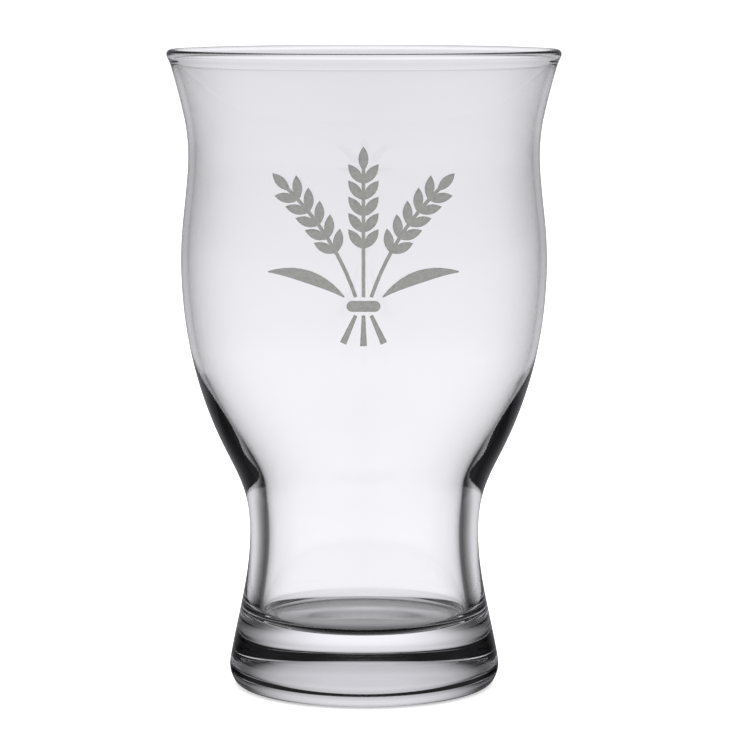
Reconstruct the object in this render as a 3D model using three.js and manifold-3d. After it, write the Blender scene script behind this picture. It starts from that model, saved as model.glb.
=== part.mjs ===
// A stackable beer glass: one heavy moulded glass with a wide foot, a drawn-in waist, a bellied bowl
// and a flared, rounded lip, and a sheaf of barley printed in grey on the front of the bowl.
// Millimetres, +Z up. The origin is the middle of the face that it stands on, and the print faces -Y.

import * as THREE from "three";
import { mergeVertices } from "three/addons/utils/BufferGeometryUtils.js";
import Module from "manifold-3d";

// Outside of the glass, from the table up. A flare is the radius gained for each millimetre climbed.
const GLASS_HEIGHT = 146.2;
const FOOT_RADIUS = 31.2; // widest ring of the foot
const FLANK_ROUND = 6.4; // gentle round by which the side of the foot pulls in below its widest ring
const HEEL_ROUND = 2.3; // tighter round from there into the face that it stands on
const HEEL_TURN = 0.6; // angle below the level at which the one runs into the other, in radians
const FOOT_TAPER = 0.17; // radius lost for each millimetre climbed above the heel
const WAIST_RADIUS = 26.35;
const WAIST_HEIGHT = 34.9;
const SHOULDER_RADIUS = 29.5;
const SHOULDER_HEIGHT = 49.9;
const SHOULDER_FLARE = 0.565;
const BELLY_RADIUS = 41.97;
const BELLY_HEIGHT = 98.6;
const THROAT_RADIUS = 40.05;
const THROAT_HEIGHT = 123.1;
const LIP_RADIUS = 45.0; // outermost ring of the rounded lip
const LIP_ROUND = 1.1; // half the thickness of the rounded lip
const LIP_ROOT_RADIUS = 43.83; // outside of the wall where it starts to swell into the lip
const LIP_ROOT_DEPTH = 4.0; // from the top of the lip down to that ring
const LIP_ROOT_FLARE = 0.27;
const LIP_UNDERCUT = 0.6; // angle, in radians, at which the wall runs into the rounded lip from below

// Inside of the glass. Each wall is measured level, from the outside.
const BOWL_WALL = 1.6; // from the lip down to the ring where the wall starts to thicken
const THICKENING_HEIGHT = 76.6;
const LEDGE_WALL = 4.35; // at the ring under the slope that carries the foot of the glass stacked on top
const LEDGE_HEIGHT = 51.2;
const LEDGE_FLARE = 0.67;
const WAIST_WALL = 4.35;
const WELL_WALL = 4.8; // at the bottom of the neck, where the floor starts
const WELL_TAPER = 0.15;
const FLOOR_HEIGHT = 14.6; // thickness of the solid foot
const FLOOR_ROUND = 3.6; // round between the floor and the wall

// Underside: a shallow hollow inside the flat ring that the glass stands on.
const RING_WIDTH = 8.2;
const HOLLOW_DEPTH = 0.5;

// The printed sheaf. Its places are measured from the middle of the tie, on the front of the bowl.
const TIE_HEIGHT = 91.5; // above the table
const TIE_LENGTH = 7.4;
const TIE_BREADTH = 2.4;
const INK_THICKNESS = 0.1;
const INK_CLEARANCE = 0.05; // between the ink and the glass that it lies on
const INK_GAP = 0.8; // bare glass between the tie and what it ties
const EAR_SPACING = 1.7; // between neighbouring stems at the tie
const EAR_LEAN = 0.32; // lean of the outer ears at the tie, in radians
const EAR_TURN = 0.5; // how far the outer ears bend over from root to tip, in radians
const STEM_WIDTH = 0.8;
const STEM_LENGTH = 10.5; // from the tie to the first pair of grains
const GRAIN_LENGTH = 5.4;
const GRAIN_WIDTH = 2.2;
const GRAIN_SPREAD = 0.66; // angle between a grain and its stem, in radians
const GRAIN_PITCH = 3.5;
const GRAIN_PAIRS = 5;
const LEAF_LENGTH = 18.0;
const LEAF_WIDTH = 2.8;
const LEAF_TIP = 0.3; // width of its two ends
const LEAF_LEAN = 0.87;
const LEAF_TURN = 0.81;
const STALK_LENGTH = 6.8;
const STALK_WIDTH = 1.5;
const STALK_LEAN = 0.42;

// Fineness of the faceted surfaces.
const RING_SIDES = 48;
const WALL_STEP = 5.0; // greatest climb from one ring of facets to the next
const ROUND_STEPS = 5;
const BLADE_STEPS = 10;
const GRAIN_STEPS = 6;

const wasm = await Module();
wasm.setup();

const glassMaterial = new THREE.MeshStandardMaterial({
  color: 0xe6e7ec,
  roughness: 0.04,
  metalness: 0,
  transparent: true,
  opacity: 0.35,
});
const inkMaterial = new THREE.MeshStandardMaterial({ color: 0x989896, roughness: 0.55, metalness: 0 });

// Evenly spaced numbers from one value to another, both included.
function steps(from, to, count) {
  return Array.from({ length: count + 1 }, (_, i) => from + ((to - from) * i) / count);
}

// Radius and flare at a height, on the cubic that joins two rings at their own flares.
function between(low, high, height) {
  const rise = high.height - low.height;
  const t = (height - low.height) / rise;
  const bend = low.radius - high.radius;
  const lowPull = low.flare * rise + bend;
  const highPull = -high.flare * rise - bend;
  const radius =
    (1 - t) * low.radius + t * high.radius + t * (1 - t) * ((1 - t) * lowPull + t * highPull);
  const slope =
    -bend + (1 - 2 * t) * ((1 - t) * lowPull + t * highPull) + t * (1 - t) * (highPull - lowPull);
  return { radius, height, flare: slope / rise };
}

// Radius and flare at a height, on a chain of rings from the lowest up.
function onWall(rings, height) {
  const above = rings.findIndex((ring, i) => i > 0 && height <= ring.height);
  const high = above > 0 ? above : rings.length - 1;
  return between(rings[high - 1], rings[high], height);
}

// Rings of the outer wall. The lowest and the highest are where it meets its rounds.
const flankEnd = Math.atan(FOOT_TAPER);
const flankGain = FLANK_ROUND - HEEL_ROUND;
const flankCentre = {
  radius: FOOT_RADIUS - FLANK_ROUND,
  height: HEEL_ROUND + flankGain * Math.sin(HEEL_TURN),
};
const heelCentre = {
  radius: flankCentre.radius + flankGain * Math.cos(HEEL_TURN),
  height: HEEL_ROUND,
};
const lipCentre = { radius: LIP_RADIUS - LIP_ROUND, height: GLASS_HEIGHT - LIP_ROUND };
const lipRootHeight = GLASS_HEIGHT - LIP_ROOT_DEPTH;
const outerRings = [
  {
    radius: flankCentre.radius + FLANK_ROUND * Math.cos(flankEnd),
    height: flankCentre.height + FLANK_ROUND * Math.sin(flankEnd),
    flare: -FOOT_TAPER,
  },
  { radius: WAIST_RADIUS, height: WAIST_HEIGHT, flare: 0 },
  { radius: SHOULDER_RADIUS, height: SHOULDER_HEIGHT, flare: SHOULDER_FLARE },
  { radius: BELLY_RADIUS, height: BELLY_HEIGHT, flare: 0 },
  { radius: THROAT_RADIUS, height: THROAT_HEIGHT, flare: 0 },
  { radius: LIP_ROOT_RADIUS, height: lipRootHeight, flare: LIP_ROOT_FLARE },
  {
    radius: lipCentre.radius + LIP_ROUND * Math.cos(LIP_UNDERCUT),
    height: lipCentre.height - LIP_ROUND * Math.sin(LIP_UNDERCUT),
    flare: Math.tan(LIP_UNDERCUT),
  },
];

// Heights of the facet rings between two heights, without the lowest.
function climb(from, to) {
  const count = Math.max(2, Math.ceil((to - from) / WALL_STEP));
  return steps(from, to, count).slice(1);
}

function outerPoints() {
  const heights = [outerRings[0].height];
  for (let i = 1; i < outerRings.length; i += 1) {
    heights.push(...climb(outerRings[i - 1].height, outerRings[i].height));
  }
  return heights.map((height) => onWall(outerRings, height));
}

// A ring of the inner wall, set in from the outside by the wall's thickness there.
function innerRing(height, wall, flare) {
  return { radius: onWall(outerRings, height).radius - wall, height, flare };
}

// Inner wall from the floor's round up to the lip's round.
function innerPoints() {
  const well = innerRing(FLOOR_HEIGHT + FLOOR_ROUND, WELL_WALL, -WELL_TAPER);
  const waist = innerRing(WAIST_HEIGHT, WAIST_WALL, 0);
  const ledge = innerRing(LEDGE_HEIGHT, LEDGE_WALL, LEDGE_FLARE);
  const bowlFlare = onWall(outerRings, THICKENING_HEIGHT).flare;
  const bowl = innerRing(THICKENING_HEIGHT, BOWL_WALL, bowlFlare);
  const rings = [well, waist, ledge, bowl];
  const points = [well];
  for (let i = 1; i < rings.length; i += 1) {
    const heights = climb(rings[i - 1].height, rings[i].height);
    points.push(...heights.map((height) => onWall(rings, height)));
  }
  for (const height of climb(THICKENING_HEIGHT, lipRootHeight)) {
    points.push(innerRing(height, BOWL_WALL, 0));
  }
  return points;
}

// Points of a round about a centre, from one angle to another. Angle 0 points away from the axis.
function round(centre, size, from, to) {
  return steps(from, to, ROUND_STEPS).map((angle) => ({
    radius: centre.radius + size * Math.cos(angle),
    height: centre.height + size * Math.sin(angle),
  }));
}

// A turned ring or body from its outline, with the axis of the turning set upright.
function turned(points) {
  const outline = points.map((point) => new THREE.Vector2(point.radius, point.height));
  return new THREE.LatheGeometry(outline, RING_SIDES).rotateX(Math.PI / 2);
}

function glassGeometry() {
  const inner = innerPoints();
  const well = inner[0];
  const floorCentre = { radius: well.radius - FLOOR_ROUND, height: well.height };
  const hollowRadius = heelCentre.radius - RING_WIDTH;
  const hollow = steps(0, hollowRadius, ROUND_STEPS).map((radius) => ({
    radius,
    height: HOLLOW_DEPTH * (1 - (radius / hollowRadius) ** 2),
  }));
  const lipInside = Math.PI - Math.atan(LIP_ROOT_FLARE);
  return turned([
    ...hollow,
    ...round(heelCentre, HEEL_ROUND, -Math.PI / 2, -HEEL_TURN),
    ...round(flankCentre, FLANK_ROUND, -HEEL_TURN, flankEnd).slice(1),
    ...outerPoints().slice(1, -1),
    ...round(lipCentre, LIP_ROUND, -LIP_UNDERCUT, lipInside),
    ...inner.reverse(),
    ...round(floorCentre, FLOOR_ROUND, 0, -Math.PI / 2).slice(1),
    { radius: 0, height: FLOOR_HEIGHT },
  ]);
}

// A closed geometry as a solid that can be joined and cut.
function solid(geometry) {
  geometry.deleteAttribute("normal");
  geometry.deleteAttribute("uv");
  const merged = mergeVertices(geometry);
  return new wasm.Manifold(
    new wasm.Mesh({
      numProp: 3,
      vertProperties: new Float32Array(merged.attributes.position.array),
      triVerts: new Uint32Array(merged.index.array),
    }),
  );
}

// A solid as a geometry.
function geometryOf(body) {
  const { vertProperties, triVerts } = body.getMesh();
  const geometry = new THREE.BufferGeometry();
  geometry.setAttribute("position", new THREE.BufferAttribute(vertProperties, 3));
  geometry.setIndex(new THREE.BufferAttribute(triVerts, 1));
  geometry.computeVertexNormals();
  return geometry;
}

// The skin of ink that could lie on the bowl, all the way round. It follows the facets of the glass.
function inkSkin() {
  const wall = outerPoints().filter((point) => {
    return point.height >= SHOULDER_HEIGHT && point.height <= lipRootHeight;
  });
  const skin = (thickness) => wall.map(({ radius, height }) => ({ radius: radius + thickness, height }));
  const inside = skin(INK_CLEARANCE);
  const outside = skin(INK_CLEARANCE + INK_THICKNESS);
  return solid(turned([...outside, ...inside.reverse(), outside[0]]));
}

const bowlSkin = inkSkin();

// A drawn shape as a prism that runs from the axis out past the front of the bowl.
function prism(shape, place = { x: 0, z: 0, lean: 0 }) {
  const geometry = new THREE.ExtrudeGeometry(shape, {
    depth: 2 * BELLY_RADIUS,
    bevelEnabled: false,
    curveSegments: GRAIN_STEPS,
  });
  geometry.rotateZ(-place.lean).translate(place.x, place.z + TIE_HEIGHT, 0);
  return solid(geometry.rotateX(Math.PI / 2));
}

// A place on a stem that leaves its root at a lean from the vertical and bends at a steady rate.
function alongStem(stem, distance) {
  const halfTurn = (stem.bend * distance) / 2;
  const chord = halfTurn === 0 ? distance : (distance * Math.sin(halfTurn)) / halfTurn;
  return {
    x: stem.x + chord * Math.sin(stem.lean + halfTurn),
    z: stem.z + chord * Math.cos(stem.lean + halfTurn),
    lean: stem.lean + 2 * halfTurn,
  };
}

// A flat blade along a stem. Its width is a function of the share of the length.
function blade(stem, length, widthAt) {
  const edge = (side) => {
    return steps(0, 1, BLADE_STEPS).map((share) => {
      const place = alongStem(stem, length * share);
      const offset = (side * widthAt(share)) / 2;
      return new THREE.Vector2(
        place.x + offset * Math.cos(place.lean),
        place.z - offset * Math.sin(place.lean),
      );
    });
  };
  return prism(new THREE.Shape([...edge(1), ...edge(-1).reverse()]));
}

function grain(place) {
  const shape = new THREE.Shape();
  shape.moveTo(0, 0);
  shape.quadraticCurveTo(GRAIN_WIDTH, GRAIN_LENGTH / 2, 0, GRAIN_LENGTH);
  shape.quadraticCurveTo(-GRAIN_WIDTH, GRAIN_LENGTH / 2, 0, 0);
  return prism(shape, place);
}

const tieEdge = TIE_BREADTH / 2 + INK_GAP;

// An ear: a thin stem, pairs of grains along its upper part and one grain at its tip.
function ear(side) {
  const length = STEM_LENGTH + GRAIN_PITCH * GRAIN_PAIRS;
  const bend = (side * EAR_TURN) / length;
  const stem = { x: side * EAR_SPACING, z: tieEdge, lean: side * EAR_LEAN, bend };
  let body = blade(stem, length, () => STEM_WIDTH);
  for (let pair = 0; pair < GRAIN_PAIRS; pair += 1) {
    const place = alongStem(stem, STEM_LENGTH + GRAIN_PITCH * pair);
    for (const spread of [-GRAIN_SPREAD, GRAIN_SPREAD]) {
      body = body.add(grain({ ...place, lean: place.lean + spread }));
    }
  }
  return body.add(grain(alongStem(stem, length - STEM_WIDTH)));
}

function leaf(side) {
  const x = side * (2 * EAR_SPACING + STEM_WIDTH);
  const bend = (side * LEAF_TURN) / LEAF_LENGTH;
  const root = { x, z: tieEdge, lean: side * LEAF_LEAN, bend };
  const swell = LEAF_WIDTH - LEAF_TIP;
  return blade(root, LEAF_LENGTH, (share) => LEAF_TIP + swell * Math.sin(Math.PI * share));
}

function stalk(side) {
  const root = { x: side * EAR_SPACING, z: -tieEdge, lean: Math.PI - side * STALK_LEAN, bend: 0 };
  return blade(root, STALK_LENGTH, (share) => STEM_WIDTH + (STALK_WIDTH - STEM_WIDTH) * share);
}

function tie() {
  const end = TIE_BREADTH / 2;
  const reach = TIE_LENGTH / 2 - end;
  const shape = new THREE.Shape();
  shape.absarc(reach, 0, end, -Math.PI / 2, Math.PI / 2);
  shape.absarc(-reach, 0, end, Math.PI / 2, (3 * Math.PI) / 2);
  return prism(shape);
}

const beerGlass = new THREE.Group();

function addPiece(name, geometry, material) {
  const mesh = new THREE.Mesh(geometry, material);
  mesh.name = name;
  beerGlass.add(mesh);
}

function addInk(name, drawing) {
  addPiece(name, geometryOf(bowlSkin.intersect(drawing)), inkMaterial.clone());
}

addPiece("glass_body", glassGeometry(), glassMaterial);
addInk("print_tie", tie());
for (const [place, side] of [["left", -1], ["middle", 0], ["right", 1]]) {
  addInk(`print_ear_${place}`, ear(side));
  addInk(`print_stalk_${place}`, stalk(side));
}
for (const [place, side] of [["left", -1], ["right", 1]]) {
  addInk(`print_leaf_${place}`, leaf(side));
}

export default beerGlass;
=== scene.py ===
"""Looks of the stackable beer glass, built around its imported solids.

Clear moulded glass, grey fired ink and a white studio. Metres, +Z up. The printed front faces -Y, towards
the camera.
"""

import math

import bmesh
import bpy
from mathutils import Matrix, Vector


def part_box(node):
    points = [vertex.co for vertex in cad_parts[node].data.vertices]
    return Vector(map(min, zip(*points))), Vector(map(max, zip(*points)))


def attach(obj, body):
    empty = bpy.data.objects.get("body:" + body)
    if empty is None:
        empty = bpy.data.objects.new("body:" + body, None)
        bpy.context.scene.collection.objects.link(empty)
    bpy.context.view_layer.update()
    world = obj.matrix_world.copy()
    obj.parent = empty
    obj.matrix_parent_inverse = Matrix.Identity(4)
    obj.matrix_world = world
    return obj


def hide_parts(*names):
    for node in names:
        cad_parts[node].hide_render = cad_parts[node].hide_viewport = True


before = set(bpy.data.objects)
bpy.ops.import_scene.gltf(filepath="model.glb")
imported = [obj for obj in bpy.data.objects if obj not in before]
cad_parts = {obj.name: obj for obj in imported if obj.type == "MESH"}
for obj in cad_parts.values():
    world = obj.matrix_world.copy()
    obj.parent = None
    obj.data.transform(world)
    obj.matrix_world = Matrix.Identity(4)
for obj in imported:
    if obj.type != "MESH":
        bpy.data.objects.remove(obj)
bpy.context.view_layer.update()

MM = 0.001
SAME_PLACE = 0.001 * MM  # points closer than this are one point

# The camera: a long lens, a little above the lip, with the glass left of the middle of a square picture.
VIEW_WIDTH = 172.36 * MM  # what the picture takes in, side to side, at the glass
CAMERA_PLACE = Vector((2.5, -780.0, 164.5)) * MM
CAMERA_AIM = Vector((2.5, 0.0, 71.56)) * MM
SENSOR_WIDTH = 36.0

# The glass: turned afresh from the body's own section, and smoothed.
TURN_STEPS = 64
SMOOTHING = 2
RIPPLE_LENGTH = 22 * MM  # from one gentle swell of the surface to the next
RIPPLE_DEPTH = 0.2 * MM

# The ink: how far it is sunk into the glass and stands out of it, and the grain of its powder.
INK_SUNK = 0.02 * MM
INK_PROUD = 0.03 * MM
INK_GRID = 1.0 * MM  # spacing of the cuts that let a patch bend with the glass
OUTER_FACING = 0.5  # a face of the solid ink that looks outwards at least this much is its outer skin
GRAIN_SIZE = 0.6 * MM  # real powder is far finer: drawn this coarse so that it shows
GRAIN_DEPTH = 0.02 * MM
GRAIN_SPREAD = (0.3, 0.7)  # heights of the grain at which the ink has its darker and its paler grey

# The table and the soft light over it.
FLOOR_SIZE = 6.0
FLOOR_DROP = 0.2 * MM  # keeps the floor apart from the glass's own face
TABLE_GLOW = 0.45
ROOM_LIGHT = 1.12
SOFTBOX_SIZE = 1.6
SOFTBOX_HEIGHT = 1.6
SOFTBOX_WATTS = 16.0
MOST_BOUNCES = 64
STAGE_SEGMENTS = 96  # round the round pieces of the studio

# The cove that shows through the glass. Stops are pairs: a place from 0 to 1 and a tone.
COVE_RADIUS = 6.0
COVE_MIDDLE = 90 * MM  # height of the middle of the cove
COVE_LIGHT = (1.185, 1.173, 1.227, 1)  # what a tone of 1 gives: a white with a breath of violet
COVE_LOWEST = -0.5 * COVE_RADIUS  # where the tones start; they end at the top of the cove
COVE_TONES = (
    (0.0, 0.72), (0.08, 0.85), (0.15, 0.86), (0.235, 0.85), (0.265, 0.80), (0.295, 0.71), (0.33, 0.69),
    (0.40, 0.65), (0.455, 0.57), (0.51, 0.53), (0.58, 0.50), (0.725, 0.48), (0.79, 0.44), (0.83, 0.16),
    (0.89, 0.05), (0.935, 0.05), (0.96, 0.32), (1.0, 0.45),
)
HALF_TURN = 180  # degrees, from straight behind the glass to straight in front of it

# What the cove keeps of its tones over that half turn: low down, and above the height of its middle.
LOW_FALL = (
    (0.07, 1), (0.14, 0.72), (0.20, 0.42), (0.255, 0.30), (0.33, 0.30), (0.42, 0.72), (0.52, 0.86),
    (0.65, 1), (0.82, 1), (0.92, 0.85), (1.0, 0.8),
)
HIGH_FALL = (
    (0.067, 1), (0.14, 0.82), (0.195, 0.52), (0.24, 0.22), (0.28, 0.04), (0.36, 0.04), (0.46, 0.6),
    (0.6, 0.8),
)
FALL_SEAM = (-0.05 * COVE_RADIUS, 0.03 * COVE_RADIUS)  # heights over which the one gives way to the other

# Light by the number of bounces that it has made in the glass.
FACE_SHARE = 0.25  # of the cove, seen in the outer face after one bounce
CROSSING = 4  # bounces of light that has gone straight through the glass
CROSSING_EASE = 0.5  # how far the dark sides are eased for that light
LONG_PATH = 9  # bounces after which the cove is as good as lost
LONG_PATH_SHARE = 0.03

# The gauze: a ring round the glass, open behind, in front, above and below. Turns are degrees from behind.
SCREEN_RADIUS = 100 * MM
SCREEN_FOOT = -75 * MM
SCREEN_TOP = 50 * MM
GAP_HEIGHTS = (-22 * MM, 5 * MM)
GAP_TURNS = (22, 50)  # half the gap behind, at those two heights
GAP_EDGE = 18  # to either side of the gap's edge, over which the gauze thickens
GAUZE_CLEAR = 0.03  # what the gauze lets through where it is thick
GAUZE_FRONT = (54, 80)  # turns between which it thins out again
GAUZE_TOP = (35 * MM, 48 * MM)
GAUZE_FOOT = (-48 * MM, -62 * MM)

# The painted shade under the foot: a glowing disc seen only in the glass.
SHADE_RADIUS = 37 * MM
SHADE_DEPTH = 26 * MM  # from the middle to where the tones start in front and end behind
SHADE_TONES = ((0.12, 0.01), (0.25, 0.05), (0.40, 0.19), (0.65, 0.22), (0.92, 0.50))
SHADE_RING = (23 * MM, 27 * MM)  # radii between which the shade deepens under the ring of the foot
SHADE_RING_SHARE = 0.1
SHADE_EDGE = (33 * MM, 36.5 * MM)  # radii between which the shade ends


def linear(hex_colour):
    """An sRGB hex colour as linear RGBA."""
    channels = [int(hex_colour[i:i + 2], 16) / 255 for i in (1, 3, 5)]
    return [c / 12.92 if c <= 0.04045 else ((c + 0.055) / 1.055) ** 2.4 for c in channels] + [1.0]


def add_node(tree, kind, settings=None, stops=(), **inputs):
    """A node with its settings made, its ramp's grey stops set, and each input given a value or linked."""
    made = tree.nodes.new(kind)
    for name, value in (settings or {}).items():
        setattr(made, name, value)
    if stops:
        made.color_ramp.interpolation = "B_SPLINE"
        while len(made.color_ramp.elements) < len(stops):
            made.color_ramp.elements.new(1.0)
        for element, (place, tone) in zip(made.color_ramp.elements, stops):
            element.position = place
            element.color = (tone, tone, tone, 1)
    for name, value in inputs.items():
        socket = made.inputs[int(name[1:])] if name[0] == "_" else made.inputs[name.replace("_", " ")]
        if isinstance(value, bpy.types.NodeSocket):
            tree.links.new(value, socket)
        else:
            socket.default_value = value
    return made


def new_material(name):
    material = bpy.data.materials.new(name)
    material.use_nodes = True
    material.node_tree.nodes.clear()
    return material, material.node_tree


def moulded_glass():
    """Soda-lime glass, moulded and fire-polished.

    It is clear, a faint grey-violet where it is thick, and slightly uneven.
    """
    material, tree = new_material("soda-lime_glass_moulded")
    place = add_node(tree, "ShaderNodeTexCoord").outputs["Object"]
    waves = add_node(tree, "ShaderNodeTexNoise", Vector=place, Scale=1 / RIPPLE_LENGTH, Detail=1.0)
    ripple = add_node(
        tree, "ShaderNodeBump", Strength=0.02, Distance=RIPPLE_DEPTH, Height=waves.outputs["Fac"]
    )
    glass = add_node(
        tree, "ShaderNodeBsdfPrincipled", Base_Color=(1, 1, 1, 1), Roughness=0.0, IOR=1.52,
        Transmission_Weight=1.0, Normal=ripple.outputs["Normal"],
    )
    tint = add_node(tree, "ShaderNodeVolumeAbsorption", Color=linear("#e4e3ec"), Density=2.5)
    add_node(
        tree, "ShaderNodeOutputMaterial", Surface=glass.outputs["BSDF"], Volume=tint.outputs["Volume"]
    )
    return material


def fired_ink():
    """Ceramic ink, screen printed and fired: flat grey, dull, with the grain of its powder."""
    material, tree = new_material("ceramic_ink_fired")
    place = add_node(tree, "ShaderNodeTexCoord").outputs["Object"]
    grain = add_node(tree, "ShaderNodeTexNoise", Vector=place, Scale=1 / GRAIN_SIZE, Detail=3.0)
    colour = add_node(tree, "ShaderNodeValToRGB", Fac=grain.outputs["Fac"])
    for element, height, grey in zip(colour.color_ramp.elements, GRAIN_SPREAD, ("#7a7a78", "#888886")):
        element.position = height
        element.color = linear(grey)
    relief = add_node(
        tree, "ShaderNodeBump", Strength=0.2, Distance=GRAIN_DEPTH, Height=grain.outputs["Fac"]
    )
    ink = add_node(
        tree, "ShaderNodeBsdfPrincipled", Base_Color=colour.outputs["Color"], Roughness=0.55, IOR=1.5,
        Normal=relief.outputs["Normal"],
    )
    add_node(tree, "ShaderNodeOutputMaterial", Surface=ink.outputs["BSDF"])
    return material


def finished_piece(name, bm, material):
    mesh = bpy.data.meshes.new(name)
    bm.to_mesh(mesh)
    bm.free()
    mesh.materials.append(material)
    piece = bpy.data.objects.new(name, mesh)
    bpy.context.scene.collection.objects.link(piece)
    return piece


def everything(bm):
    return bm.verts[:] + bm.edges[:] + bm.faces[:]


def moulded_body(material):
    """The whole glass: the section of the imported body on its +X side, spun once round the axis."""
    bm = bmesh.new()
    bm.from_mesh(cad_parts["glass_body"].data)
    bmesh.ops.remove_doubles(bm, verts=bm.verts, dist=SAME_PLACE)
    bmesh.ops.bisect_plane(
        bm, geom=everything(bm), dist=SAME_PLACE, plane_co=(0, 0, 0), plane_no=(0, 1, 0),
        clear_inner=True, clear_outer=True,
    )
    other_half = [v for v in bm.verts if v.co.x < -SAME_PLACE]
    bmesh.ops.delete(bm, geom=other_half, context="VERTS")
    bmesh.ops.spin(
        bm, geom=bm.verts[:] + bm.edges[:], cent=(0, 0, 0), axis=(0, 0, 1), angle=2 * math.pi,
        steps=TURN_STEPS, use_merge=True,
    )
    bmesh.ops.remove_doubles(bm, verts=bm.verts, dist=SAME_PLACE)
    bmesh.ops.recalc_face_normals(bm, faces=bm.faces)
    for face in bm.faces:
        face.smooth = True
    piece = finished_piece("glass", bm, material)
    smooth = piece.modifiers.new("smooth", "SUBSURF")
    smooth.levels = smooth.render_levels = SMOOTHING
    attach(piece, "root")
    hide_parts("glass_body")
    return piece


def ink_patch(node, glass, material):
    """One patch of ink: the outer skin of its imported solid, laid on the smooth glass and thickened."""
    bm = bmesh.new()
    bm.from_mesh(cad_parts[node].data)
    bmesh.ops.remove_doubles(bm, verts=bm.verts, dist=SAME_PLACE)
    inward = []
    for face in bm.faces:
        middle = face.calc_center_median()
        out = Vector((middle.x, middle.y, 0)).normalized()
        if face.normal.dot(out) < OUTER_FACING:
            inward.append(face)
    bmesh.ops.delete(bm, geom=inward, context="FACES")
    low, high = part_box(node)
    for axis, normal in ((0, (1, 0, 0)), (2, (0, 0, 1))):
        count = int((high[axis] - low[axis]) / INK_GRID)
        for i in range(1, count + 1):
            point = Vector((0, 0, 0))
            point[axis] = low[axis] + i * INK_GRID
            bmesh.ops.bisect_plane(
                bm, geom=everything(bm), dist=SAME_PLACE, plane_co=point, plane_no=normal
            )
    for face in bm.faces:
        face.smooth = True
    piece = finished_piece("ink_" + node.removeprefix("print_"), bm, material)
    lay = piece.modifiers.new("lay", "SHRINKWRAP")
    lay.target = glass
    lay.wrap_method = "NEAREST_SURFACEPOINT"
    lay.wrap_mode = "ABOVE_SURFACE"
    lay.offset = INK_PROUD
    body = piece.modifiers.new("body", "SOLIDIFY")
    body.thickness = INK_PROUD + INK_SUNK
    body.offset = -1
    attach(piece, "root")
    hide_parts(node)
    return piece


def photograph_camera():
    data = bpy.data.cameras.new("camera")
    data.sensor_width = SENSOR_WIDTH
    data.lens = SENSOR_WIDTH * (CAMERA_AIM - CAMERA_PLACE).length / VIEW_WIDTH
    camera = bpy.data.objects.new("camera", data)
    camera.location = CAMERA_PLACE
    camera.rotation_euler = (CAMERA_AIM - CAMERA_PLACE).to_track_quat("-Z", "Y").to_euler()
    bpy.context.scene.collection.objects.link(camera)
    bpy.context.scene.camera = camera


def lit_floor():
    """A white table lit from below, which leaves only a faint shade beside the foot."""
    material, tree = new_material("white_acrylic_lit_from_below")
    acrylic = add_node(
        tree, "ShaderNodeBsdfPrincipled", Base_Color=linear("#f6f6f6"), Roughness=0.9,
        Emission_Color=(1, 1, 1, 1), Emission_Strength=TABLE_GLOW,
    )
    add_node(tree, "ShaderNodeOutputMaterial", Surface=acrylic.outputs["BSDF"])
    bm = bmesh.new()
    bmesh.ops.create_grid(bm, x_segments=1, y_segments=1, size=FLOOR_SIZE / 2)
    bmesh.ops.translate(bm, verts=bm.verts, vec=(0, 0, -FLOOR_DROP))
    floor = finished_piece("floor", bm, material)
    floor.visible_transmission = False
    floor.visible_glossy = False


def seen_only_in_glass(obj):
    obj.visible_camera = False
    obj.visible_diffuse = False
    obj.visible_shadow = False
    obj.visible_volume_scatter = False


def side_turn(tree, axes):
    """The turn from straight behind the glass, to either side, in degrees."""
    turn = add_node(tree, "ShaderNodeMath", {"operation": "ARCTAN2"}, _0=axes["X"], _1=axes["Y"])
    degrees = add_node(tree, "ShaderNodeMath", {"operation": "DEGREES"}, _0=turn.outputs[0])
    return add_node(tree, "ShaderNodeMath", {"operation": "ABSOLUTE"}, _0=degrees.outputs[0]).outputs[0]


def eased_for_crossing(tree, bounces, dark):
    """A dark tone, paler for light that has crossed the glass, which keeps it clear in other views."""
    ease = add_node(
        tree, "ShaderNodeMapRange", Value=bounces, From_Min=CROSSING - 1, From_Max=CROSSING,
        To_Max=CROSSING_EASE,
    )
    return add_node(
        tree, "ShaderNodeMix", {"data_type": "FLOAT"}, Factor=ease.outputs[0], _2=dark, _3=1.0
    ).outputs[0]


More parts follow.
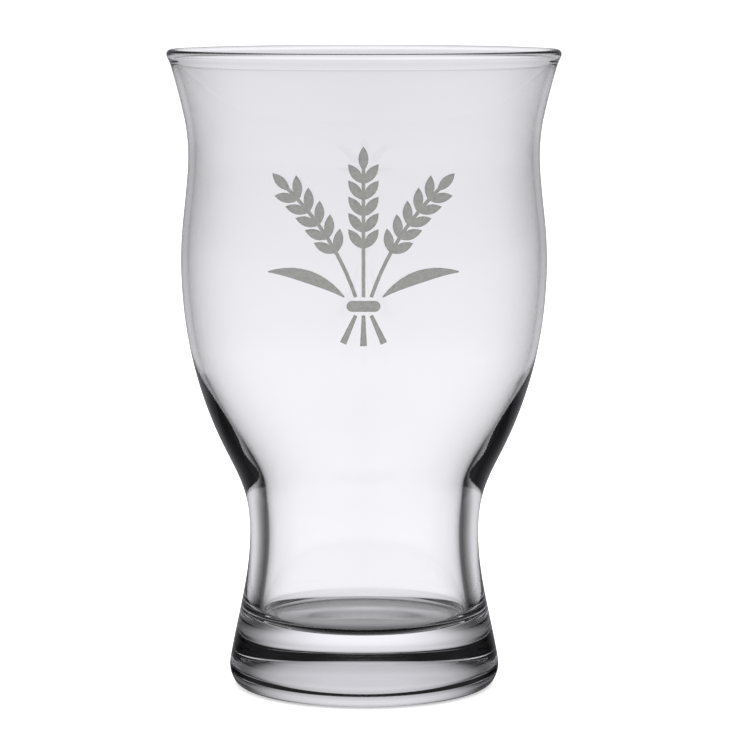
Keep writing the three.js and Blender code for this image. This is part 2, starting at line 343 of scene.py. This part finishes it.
def studio_cove():
    """The white cove that shows through the glass.

    It is palest low down, and dark overhead and to either side of the back. It is faint in the outer face
    of the glass, and light that has run about inside for many bounces comes out dark.
    """
    material, tree = new_material("studio_cove_lit")
    place = add_node(tree, "ShaderNodeTexCoord").outputs["Object"]
    axes = add_node(tree, "ShaderNodeSeparateXYZ", Vector=place).outputs
    bounces = add_node(tree, "ShaderNodeLightPath").outputs["Ray Depth"]
    climb = add_node(
        tree, "ShaderNodeMapRange", Value=axes["Z"], From_Min=COVE_LOWEST, From_Max=COVE_RADIUS
    )
    tone = add_node(tree, "ShaderNodeValToRGB", stops=COVE_TONES, Fac=climb.outputs[0])
    turn = add_node(
        tree, "ShaderNodeMapRange", Value=side_turn(tree, axes), From_Min=0, From_Max=HALF_TURN
    )
    low_fall = add_node(tree, "ShaderNodeValToRGB", stops=LOW_FALL, Fac=turn.outputs[0])
    high_fall = add_node(tree, "ShaderNodeValToRGB", stops=HIGH_FALL, Fac=turn.outputs[0])
    upper = add_node(
        tree, "ShaderNodeMapRange", {"interpolation_type": "SMOOTHSTEP"}, Value=axes["Z"],
        From_Min=FALL_SEAM[0], From_Max=FALL_SEAM[1],
    )
    fall = add_node(
        tree, "ShaderNodeMix", {"data_type": "FLOAT"}, Factor=upper.outputs[0],
        _2=low_fall.outputs["Color"], _3=high_fall.outputs["Color"],
    )
    placed = add_node(
        tree, "ShaderNodeMath", {"operation": "MULTIPLY"}, _0=tone.outputs["Color"],
        _1=eased_for_crossing(tree, bounces, fall.outputs[0]),
    )
    in_face = add_node(
        tree, "ShaderNodeMapRange", Value=bounces, From_Min=1, From_Max=2, To_Min=FACE_SHARE, To_Max=1.0
    )
    left_over = add_node(
        tree, "ShaderNodeMapRange", {"interpolation_type": "SMOOTHSTEP"}, Value=bounces,
        From_Min=CROSSING, From_Max=LONG_PATH, To_Min=1.0, To_Max=LONG_PATH_SHARE,
    )
    kept = add_node(
        tree, "ShaderNodeMath", {"operation": "MULTIPLY"}, _0=left_over.outputs[0], _1=in_face.outputs[0]
    )
    seen = add_node(
        tree, "ShaderNodeMath", {"operation": "MULTIPLY"}, _0=placed.outputs[0], _1=kept.outputs[0]
    )
    light = add_node(tree, "ShaderNodeEmission", Color=COVE_LIGHT, Strength=seen.outputs[0])
    add_node(tree, "ShaderNodeOutputMaterial", Surface=light.outputs["Emission"])
    bm = bmesh.new()
    bmesh.ops.create_uvsphere(
        bm, u_segments=STAGE_SEGMENTS, v_segments=STAGE_SEGMENTS // 2, radius=COVE_RADIUS
    )
    cove = finished_piece("studio_cove", bm, material)
    cove.location.z = COVE_MIDDLE
    seen_only_in_glass(cove)


def low_screens():
    """Black gauze, low on either side behind the glass: it draws the dark lines of waist and foot."""
    material, tree = new_material("black_gauze")
    place = add_node(tree, "ShaderNodeTexCoord").outputs["Object"]
    axes = add_node(tree, "ShaderNodeSeparateXYZ", Vector=place).outputs
    bounces = add_node(tree, "ShaderNodeLightPath").outputs["Ray Depth"]
    side = side_turn(tree, axes)
    gap = add_node(
        tree, "ShaderNodeMapRange", Value=axes["Z"], From_Min=GAP_HEIGHTS[0], From_Max=GAP_HEIGHTS[1],
        To_Min=GAP_TURNS[0], To_Max=GAP_TURNS[1],
    )
    past = add_node(tree, "ShaderNodeMath", {"operation": "SUBTRACT"}, _0=side, _1=gap.outputs[0])
    behind = add_node(
        tree, "ShaderNodeMapRange", {"interpolation_type": "SMOOTHSTEP"}, Value=past.outputs[0],
        From_Min=-GAP_EDGE, From_Max=GAP_EDGE, To_Min=1.0, To_Max=GAUZE_CLEAR,
    )
    front = add_node(
        tree, "ShaderNodeMapRange", {"interpolation_type": "SMOOTHSTEP"}, Value=side,
        From_Min=GAUZE_FRONT[0], From_Max=GAUZE_FRONT[1],
    )
    above = add_node(
        tree, "ShaderNodeMapRange", Value=axes["Z"], From_Min=GAUZE_TOP[0], From_Max=GAUZE_TOP[1]
    )
    below = add_node(
        tree, "ShaderNodeMapRange", Value=axes["Z"], From_Min=GAUZE_FOOT[0], From_Max=GAUZE_FOOT[1]
    )
    sides = add_node(
        tree, "ShaderNodeMath", {"operation": "MAXIMUM"}, _0=behind.outputs[0], _1=front.outputs[0]
    )
    ends = add_node(
        tree, "ShaderNodeMath", {"operation": "MAXIMUM"}, _0=above.outputs[0], _1=below.outputs[0]
    )
    open_part = add_node(
        tree, "ShaderNodeMath", {"operation": "MAXIMUM"}, _0=sides.outputs[0], _1=ends.outputs[0]
    )
    gauze = add_node(
        tree, "ShaderNodeBsdfTransparent", Color=eased_for_crossing(tree, bounces, open_part.outputs[0])
    )
    add_node(tree, "ShaderNodeOutputMaterial", Surface=gauze.outputs["BSDF"])
    bm = bmesh.new()
    bmesh.ops.create_cone(
        bm, cap_ends=False, segments=STAGE_SEGMENTS, radius1=SCREEN_RADIUS, radius2=SCREEN_RADIUS,
        depth=SCREEN_TOP - SCREEN_FOOT,
    )
    bmesh.ops.translate(bm, verts=bm.verts, vec=(0, 0, (SCREEN_TOP + SCREEN_FOOT) / 2))
    screens = finished_piece("low_screens", bm, material)
    seen_only_in_glass(screens)


def shade_under_foot():
    """Painted shade under the foot, seen only in the glass: darkest in front and under the ring it bears
    on.
    """
    material, tree = new_material("painted_shade_under_foot")
    place = add_node(tree, "ShaderNodeTexCoord").outputs["Object"]
    axes = add_node(tree, "ShaderNodeSeparateXYZ", Vector=place).outputs
    level = add_node(tree, "ShaderNodeVectorMath", {"operation": "MULTIPLY"}, _0=place, _1=(1, 1, 0))
    radius = add_node(tree, "ShaderNodeVectorMath", {"operation": "LENGTH"}, _0=level.outputs[0])
    depth = add_node(
        tree, "ShaderNodeMapRange", Value=axes["Y"], From_Min=-SHADE_DEPTH, From_Max=SHADE_DEPTH
    )
    tone = add_node(tree, "ShaderNodeValToRGB", stops=SHADE_TONES, Fac=depth.outputs[0])
    ring = add_node(
        tree, "ShaderNodeMapRange", {"interpolation_type": "SMOOTHSTEP"}, Value=radius.outputs["Value"],
        From_Min=SHADE_RING[0], From_Max=SHADE_RING[1], To_Min=1.0, To_Max=SHADE_RING_SHARE,
    )
    seen = add_node(
        tree, "ShaderNodeMath", {"operation": "MULTIPLY"}, _0=tone.outputs["Color"], _1=ring.outputs[0]
    )
    edge = add_node(
        tree, "ShaderNodeMapRange", Value=radius.outputs["Value"],
        From_Min=SHADE_EDGE[0], From_Max=SHADE_EDGE[1],
    )
    # painted shade: the disc glows in the cove's light, dimmed by the shade tones and deepened under the
    # ring
    paper = add_node(tree, "ShaderNodeEmission", Color=COVE_LIGHT, Strength=seen.outputs[0])
    through = add_node(tree, "ShaderNodeBsdfTransparent")
    mixed = add_node(
        tree, "ShaderNodeMixShader", Fac=edge.outputs[0], _1=paper.outputs["Emission"],
        _2=through.outputs["BSDF"],
    )
    add_node(tree, "ShaderNodeOutputMaterial", Surface=mixed.outputs["Shader"])
    bm = bmesh.new()
    bmesh.ops.create_circle(bm, cap_ends=True, segments=STAGE_SEGMENTS, radius=SHADE_RADIUS)
    bmesh.ops.translate(bm, verts=bm.verts, vec=(0, 0, -FLOOR_DROP / 2))
    shade = finished_piece("shade_under_foot", bm, material)
    seen_only_in_glass(shade)


def studio_light():
    world = bpy.data.worlds.new("studio")
    bpy.context.scene.world = world
    world.use_nodes = True
    world.node_tree.nodes["Background"].inputs["Color"].default_value = (1, 1, 1, 1)
    world.node_tree.nodes["Background"].inputs["Strength"].default_value = ROOM_LIGHT
    data = bpy.data.lights.new("overhead_softbox", "AREA")
    data.shape = "SQUARE"
    data.size = SOFTBOX_SIZE
    data.energy = SOFTBOX_WATTS
    box = bpy.data.objects.new("overhead_softbox", data)
    box.location = (0, 0, SOFTBOX_HEIGHT)
    box.visible_transmission = False
    box.visible_glossy = False
    bpy.context.scene.collection.objects.link(box)


photograph_camera()
glass = moulded_body(moulded_glass())
ink = fired_ink()
for node in sorted(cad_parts):
    if node.startswith("print_"):
        ink_patch(node, glass, ink)
lit_floor()
studio_cove()
low_screens()
shade_under_foot()
studio_light()

scene = bpy.context.scene
scene.view_settings.view_transform = "Standard"
scene.cycles.max_bounces = MOST_BOUNCES
scene.cycles.transmission_bounces = MOST_BOUNCES
scene.cycles.glossy_bounces = MOST_BOUNCES
scene.cycles.transparent_max_bounces = MOST_BOUNCES
